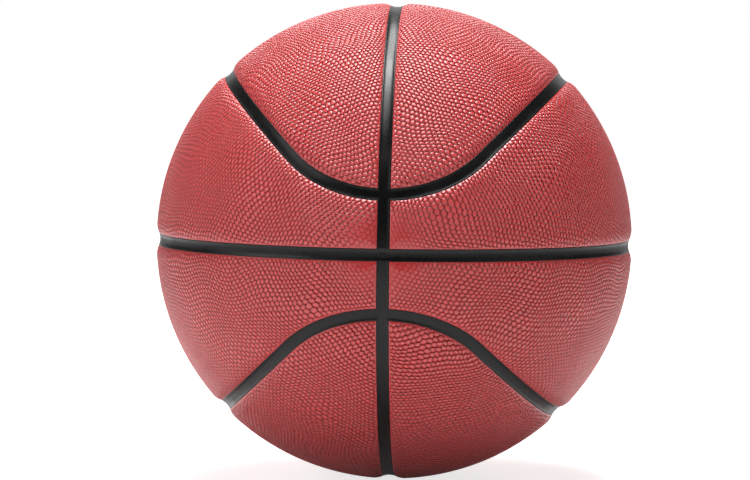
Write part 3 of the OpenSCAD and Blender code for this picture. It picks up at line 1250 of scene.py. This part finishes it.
    def grain_mask(self, distances: np.ndarray) -> np.ndarray:
        """How strongly the pebbles stand out: not on the panel's rim, less in its corners.

        Args:
            distances: Distance to the middle of each channel, one row a channel.

        Returns:
            The mask, from 0 to 1 at each point.
        """
        inside = distances - self.layers.channel_half_w
        rim = smooth_step(inside.min(axis=0), *self.edge_fade)
        corner = smooth_step(np.hypot(inside[0], inside[1]), *self.corner_fade)
        return rim * (self.corner_grain + (1.0 - self.corner_grain) * corner)

    def panel(self, cut: PanelCut, surface: Surface) -> bpy.types.Object:
        """A smooth panel, moved to its place.

        Args:
            cut: Which panel, where it goes and how its grain lies.
            surface: The shell of its shape.

        Returns:
            The panel with its maps and its grain mask.
        """
        way = -1 if cut.placing.turns_inside_out else 1
        triangles = surface.triangles[:, ::way]
        piece = object_from(f"{cut.node}_leather", cut.placing.move(surface.points), triangles)
        maps = {self.grain.map_name: cut.laid(surface.place)[triangles], "OFBake": surface.atlas[:, ::way]}
        for name, corners in maps.items():
            laid = piece.data.uv_layers.new(name=name)
            laid.uv.foreach_set("vector", corners.astype(np.float32).ravel())
        mask = piece.data.attributes.new(self.grain.mask_name, "FLOAT", "POINT")
        mask.data.foreach_set("value", surface.grain.astype(np.float32))
        return piece

    def pierce(self, piece: bpy.types.Object) -> None:
        """Sinks the skin towards the valve, smooths its grain and cuts the stem's hole.

        Args:
            piece: The smooth panel.
        """
        count = len(piece.data.vertices)
        points = np.empty(count * 3, np.float32)
        piece.data.vertices.foreach_get("co", points)
        points = points.reshape(-1, 3)
        radius = np.linalg.norm(points, axis=1)
        away = self.valve.from_axis(points / radius[:, None]) - self.valve.hole_r
        is_skin = radius > (self.layers.crown_r - self.skin_depth) * MM
        sink = self.valve_drop * MM * (1.0 - smooth_step(away, 0.0, self.valve_roll)) * is_skin
        points *= (1.0 - sink / radius)[:, None]
        piece.data.vertices.foreach_set("co", points.ravel())
        grain = np.empty(count, np.float32)
        mask = piece.data.attributes[self.grain.mask_name].data
        mask.foreach_get("value", grain)
        mask.foreach_set("value", (grain * smooth_step(away, *self.valve_fade)).astype(np.float32))
        cutter = self.valve.cutter()
        modifier = piece.modifiers.new("Stem hole", "BOOLEAN")
        modifier.operation = "DIFFERENCE"
        modifier.solver = "MANIFOLD"
        modifier.object = cutter
        evaluated_mesh(piece)
        piece.data.materials.clear()
        bpy.data.objects.remove(cutter)

    def build(self, leather: bpy.types.Material) -> None:
        """Makes the eight panels and dresses them.

        Args:
            leather: Material of the panels.
        """
        pebbles = PebbleTree(self.grain)
        tree = pebbles.tree()
        surfaces = {shape: self.shell(shape) for shape in PanelShape}
        for cut in PanelCut.all_eight():
            piece = self.panel(cut, surfaces[cut.shape])
            if cut.has_valve:
                self.pierce(piece)
            pebbles.raise_on(piece, tree, leather)
            finish_piece(piece, cut.node)


@dataclass(frozen=True)
class ChannelStrips:
    """The seven rubber strips that lie in the channels."""

    layers: BallLayers
    layout: ChannelLayout
    step: float = 1.2
    fine_step: float = 0.36
    shoulder_r: float = 0.3
    shoulder_steps: int = 4
    hollow_steps: int = 14
    hollow_power: float = 3.0
    end_gap: float = 0.02

    @property
    def rim(self) -> float:
        """Distance from a strip's middle to where its shoulders start."""
        return self.layers.strip_half_w - self.shoulder_r

    def columns(self) -> np.ndarray:
        """Places the points over a strip's top.

        Returns:
            Their distances across the strip, from right to left.
        """
        turns = np.linspace(0.0, math.pi / 2.0, self.shoulder_steps + 1)
        shoulder = self.rim + self.shoulder_r * np.cos(turns)
        hollow = np.linspace(self.rim, -self.rim, self.hollow_steps + 1)[1:-1]
        return np.concatenate([shoulder, hollow, -shoulder[::-1]])

    def hollow(self, aside: np.ndarray) -> np.ndarray:
        """Depth of the strip's hollow at distances from its middle."""
        share = np.clip(np.abs(aside) / self.rim, 0.0, 1.0)
        return self.layers.strip_hollow * (1.0 - share**self.hollow_power)

    def shoulder(self, aside: np.ndarray) -> np.ndarray:
        """How far the rounded shoulder has dropped at distances from the strip's middle."""
        share = np.clip((np.abs(aside) - self.rim) / self.shoulder_r, 0.0, 1.0)
        return self.shoulder_r * (1.0 - np.sqrt(1.0 - share**2))

    def rings(self, out: np.ndarray, across: np.ndarray, crossed: Sequence[int]) -> np.ndarray:
        """Rings of points round a strip. Where another channel crosses it, the hollows join.

        Args:
            out: Unit way out at each place of the course.
            across: Unit way across at each place.
            crossed: Which rows of the layout's distances belong to the channels that cross.

        Returns:
            For each place, the points from the base over the top and back.
        """
        layers = self.layers
        columns = self.columns()
        sideways = columns[None, :, None] * across[:, None, :]
        flat = sideways + layers.strip_side_r * out[:, None, :]
        spread = unit(np.abs(flat.reshape(-1, 3)) * np.array([1.0, -1.0, 1.0]))
        other = self.layout.distances(spread)[list(crossed)].min(axis=0).reshape(len(out), -1)
        hollow = np.maximum(self.hollow(columns)[None, :], self.hollow(other))
        shoulder = np.minimum(self.shoulder(columns)[None, :], self.shoulder(other))
        heights = (layers.strip_side_r - hollow - shoulder)[:, :, None]
        corners = np.array([-layers.strip_half_w, layers.strip_half_w])
        base = corners[None, :, None] * across[:, None, :] + layers.strip_base_r * out[:, None, :]
        return np.concatenate([base, sideways + heights * out[:, None, :]], axis=1)

    def cap(self, ring: np.ndarray) -> np.ndarray:
        """Closes the end of a strip by fans from the two corners of its base.

        Args:
            ring: Point numbers of the end ring.

        Returns:
            The cap's triangles.
        """
        tops = ring[2:]
        middle = len(tops) // 2
        corner = np.where(np.arange(len(tops) - 1) < middle, ring[1], ring[0])
        fans = np.stack([corner, tops[:-1], tops[1:]], axis=1)
        return np.concatenate([fans, [[ring[0], ring[1], tops[middle]]]])

    def circle(
        self, across: Sequence[float], first: float, last: float, step: float, closed: bool = False
    ) -> np.ndarray:
        """Ways out and across along a great circle.

        Args:
            across: Normal of the circle's plane.
            first: Angle of the first place from the front, in radians.
            last: Angle of the last place, a full turn on for a closed ring.
            step: Distance between two places.
            closed: Whether it is a closed ring.

        Returns:
            The ways out and the ways across, one row a place.
        """
        normal = np.array(across)
        front = np.array([0.0, -1.0, 0.0])
        count = round((last - first) * self.layers.crown_r / step)
        angle = np.linspace(first, last, count, endpoint=not closed)[:, None]
        out = np.cos(angle) * front + np.sin(angle) * np.cross(front, normal)
        return np.stack([out, np.broadcast_to(normal, out.shape)])

    def build(self, rubber: bpy.types.Material) -> None:
        """Makes the seven strips and dresses them.

        Args:
            rubber: Material of the strips.
        """
        meridian, equator, upper = 0, 1, 2
        top = self.layers.strip_side_r
        ways = self.circle((1.0, 0.0, 0.0), 0.0, 2.0 * math.pi, self.fine_step, closed=True)
        self.lay("channel_meridian", self.rings(*ways, (equator, upper)), Placing(), rubber, closed=True)
        start = math.asin(self.layers.channel_half_w / top)
        ways = self.circle((0.0, 0.0, 1.0), start, math.pi - start, self.step)
        rings = self.rings(*ways, (meridian,))
        for side in ("right", "left"):
            self.lay(f"channel_equator_{side}", rings, Placing(side == "left"), rubber)
        points, across = self.layout.upper_course(top, 0.0, round(math.pi * top / self.step))
        rings = self.rings(unit(points), across, (meridian,))
        for row in ("upper", "lower"):
            for side in ("right", "left"):
                self.lay(f"channel_{row}_{side}", rings, Placing(side == "left", row == "lower"), rubber)

    def lay(
        self, node: str, rings: np.ndarray, placing: Placing, rubber: bpy.types.Material, closed: bool = False
    ) -> None:
        """Joins rings of points into a strip, dresses it and lets it stand for its CAD node.

        Args:
            node: Name of the CAD node.
            rings: Rings of points along the course.
            placing: Where the strip goes.
            rubber: Material of the strip.
            closed: Whether the course is a full ring. Otherwise the ends get caps.
        """
        numbers = np.arange(rings.shape[0] * rings.shape[1]).reshape(rings.shape[:2])
        if closed:
            triangles = between_rings(numbers, np.roll(numbers, -1, axis=0))
        else:
            rings = rings.copy()
            rings[[0, -1], :, 0] = self.layers.channel_half_w + self.end_gap
            caps = [self.cap(numbers[0]), self.cap(numbers[-1])[:, ::-1]]
            triangles = np.concatenate([between_rings(numbers[:-1], numbers[1:]), *caps])
        points = placing.move(rings.reshape(-1, 3))
        piece = object_from(f"{node}_rubber", points, outward(points, triangles))
        piece.data.materials.append(rubber)
        finish_piece(piece, node)


@dataclass(frozen=True)
class InnerLayers:
    """The layers under the cover, whose CAD nodes stay and get their finishes."""

    def build(self) -> None:
        """Dresses the pads, the bladder, the carcass and the winding."""
        sponge = SpongeRubber().material()
        finishes = {name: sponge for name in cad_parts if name.startswith("pad_")}
        finishes["bladder"] = BLADDER_RUBBER.material()
        finishes["carcass"] = CARCASS_RUBBER.material()
        finishes["thread_winding"] = WoundThread().material()
        for name, material in finishes.items():
            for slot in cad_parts[name].material_slots:
                slot.material = material
            LOG.info("%s: %s", name, material.name)


@dataclass(frozen=True)
class Softbox:
    """A square or oblong studio lamp that faces the ball."""

    name: str
    place: tuple[float, float, float]
    width: float
    height: float
    watts: float

    def build(self) -> None:
        """Hangs the lamp."""
        lamp = bpy.data.lights.new(self.name, "AREA")
        lamp.shape = "RECTANGLE"
        lamp.size = self.width
        lamp.size_y = self.height
        lamp.energy = self.watts
        hung = bpy.data.objects.new(self.name, lamp)
        hung.location = self.place
        hung.rotation_euler = (-Vector(self.place)).to_track_quat("-Z", "Y").to_euler()
        bpy.context.scene.collection.objects.link(hung)


@dataclass(frozen=True)
class Studio:
    """The pale floor, the white surroundings, the lamps and the camera."""

    layers: BallLayers
    image_w: int = 750
    image_h: int = 480
    distance_share: float = 12.0
    azimuth: float = 2.49
    elevation: float = 3.29
    roll: float = 0.85
    ball_x: float = 394.2
    ball_y: float = 240.8
    ball_r: float = 237.7
    sensor_w: float = 36.0
    view_end: float = 100.0
    floor_size: float = 30.0
    floor_colour: Colour = (0.85, 0.85, 0.85)
    glow_reach: Range = (0.3, 2.0)
    glow: Range = (0.75, 1.0)
    mirrored_share: float = 0.1
    room_light: float = 0.11
    dark_light: float = 0.02
    dark_rise: float = 14.0
    dark_rim: Range = (0.72, 0.93)
    backdrop_light: float = 0.7
    backdrop_rim: Range = (0.8, 0.94)
    lamps: tuple[Softbox, ...] = (
        Softbox("Overhead softbox", (-0.04, 0.12, 1.4), 0.6, 1.8, 28.0),
        Softbox("Overhead lamp", (-0.02, 0.0, 1.35), 0.4, 0.6, 10.5),
        Softbox("Left softbox", (-1.9, -1.0, 0.8), 1.8, 1.3, 15.0),
        Softbox("Right softbox", (1.9, -0.9, 0.8), 1.8, 1.3, 2.6),
    )

    def camera(self) -> None:
        """Sets up the camera at the photograph's angle, with the ball at its place there."""
        turn, lean = math.radians(self.azimuth), math.radians(self.roll)
        back = from_front(self.azimuth, self.elevation)
        right = Vector((math.cos(turn), math.sin(turn), 0.0))
        up = back.cross(right)
        level = math.cos(lean) * right + math.sin(lean) * up
        upright = math.cos(lean) * up - math.sin(lean) * right
        focal = self.ball_r * math.sqrt(self.distance_share**2 - 1.0)
        lens = bpy.data.cameras.new("Camera")
        lens.sensor_width = self.sensor_w
        lens.lens = focal / self.image_w * self.sensor_w
        lens.shift_x = (self.image_w / 2.0 - self.ball_x) / self.image_w
        lens.shift_y = (self.ball_y - self.image_h / 2.0) / self.image_w
        lens.clip_end = self.view_end
        held = bpy.data.objects.new("Camera", lens)
        place = back * self.distance_share * self.layers.crown_r * MM
        turned = Matrix((level, upright, back)).transposed().to_4x4()
        held.matrix_world = Matrix.Translation(place) @ turned
        bpy.context.scene.collection.objects.link(held)
        bpy.context.scene.camera = held

    def seen(self, sheet: NodeSheet) -> Socket:
        """Wires how much a ray sees of the white.

        Args:
            sheet: The tree to work in.

        Returns:
            All for a ray from the camera or through glass, and less for a reflection.
        """
        path = sheet.add("ShaderNodeLightPath").outputs
        seen = sheet.math("MAXIMUM", path["Is Camera Ray"], path["Is Transmission Ray"])
        mirrored = sheet.math("MULTIPLY", path["Is Glossy Ray"], self.mirrored_share)
        return sheet.math("MAXIMUM", seen, mirrored)

    def floor(self) -> None:
        """Lays the pale floor under the ball. It shows white, but keeps the ball's shadow."""
        half = self.floor_size / 2.0 / MM
        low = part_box("cover_bottom_right")[0][2] / MM
        corners = [(-half, -half, low), (half, -half, low), (half, half, low), (-half, half, low)]
        plane = object_from("floor", np.array(corners), np.array([(0, 1, 2), (0, 2, 3)]))
        sheet = MaterialSheet("Pale floor")
        away = sheet.vector("LENGTH", sheet.object_place())
        glow = sheet.math("MULTIPLY", self.seen(sheet), sheet.eased(away, self.glow_reach, self.glow))
        sheet.put(Base_Color=(*self.floor_colour, 1.0), Roughness=1.0, Specular_IOR_Level=0.0)
        sheet.put(Emission_Color=WHITE, Emission_Strength=glow)
        plane.data.materials.append(sheet.material)

    def surroundings(self) -> None:
        """White surroundings, which light the ball softly, with a dark place round the camera."""
        world = bpy.data.worlds.new("Studio")
        world.use_nodes = True
        bpy.context.scene.world = world
        sheet = NodeSheet(world.node_tree)
        way = sheet.add("ShaderNodeTexCoord").outputs["Generated"]
        near = sheet.vector("DOT_PRODUCT", way, from_front(0.0, self.dark_rise))
        behind = sheet.vector("DOT_PRODUCT", way, (0.0, 1.0, 0.0))
        room = sheet.eased(near, self.dark_rim, (self.room_light, self.dark_light))
        backdrop = sheet.eased(behind, self.backdrop_rim, (0.0, self.backdrop_light))
        light = sheet.math("MAXIMUM", sheet.math("ADD", room, backdrop), self.seen(sheet))
        sheet.fill(world.node_tree.nodes["Background"], Color=WHITE, Strength=light)

    def build(self) -> None:
        """Builds the studio."""
        self.floor()
        self.surroundings()
        for lamp in self.lamps:
            lamp.build()
        self.camera()
        bpy.context.scene.view_settings.view_transform = "Standard"


def main() -> None:
    """Builds the ball, its finishes and the studio."""
    logging.basicConfig(level=logging.INFO, format="%(name)s: %(message)s")
    layers = BallLayers()
    layout = ChannelLayout(layers)
    grain = PebbleGrain()
    valve = Valve(layers)
    Studio(layers).build()
    CoverPanels(layers, layout, grain, valve).build(CompositeLeather(grain).material())
    ChannelStrips(layers, layout).build(CHANNEL_RUBBER.material())
    valve.build(VALVE_RUBBER.material(), PLUG_RUBBER.material())
    InnerLayers().build()


if __name__ == "__main__":
    main()
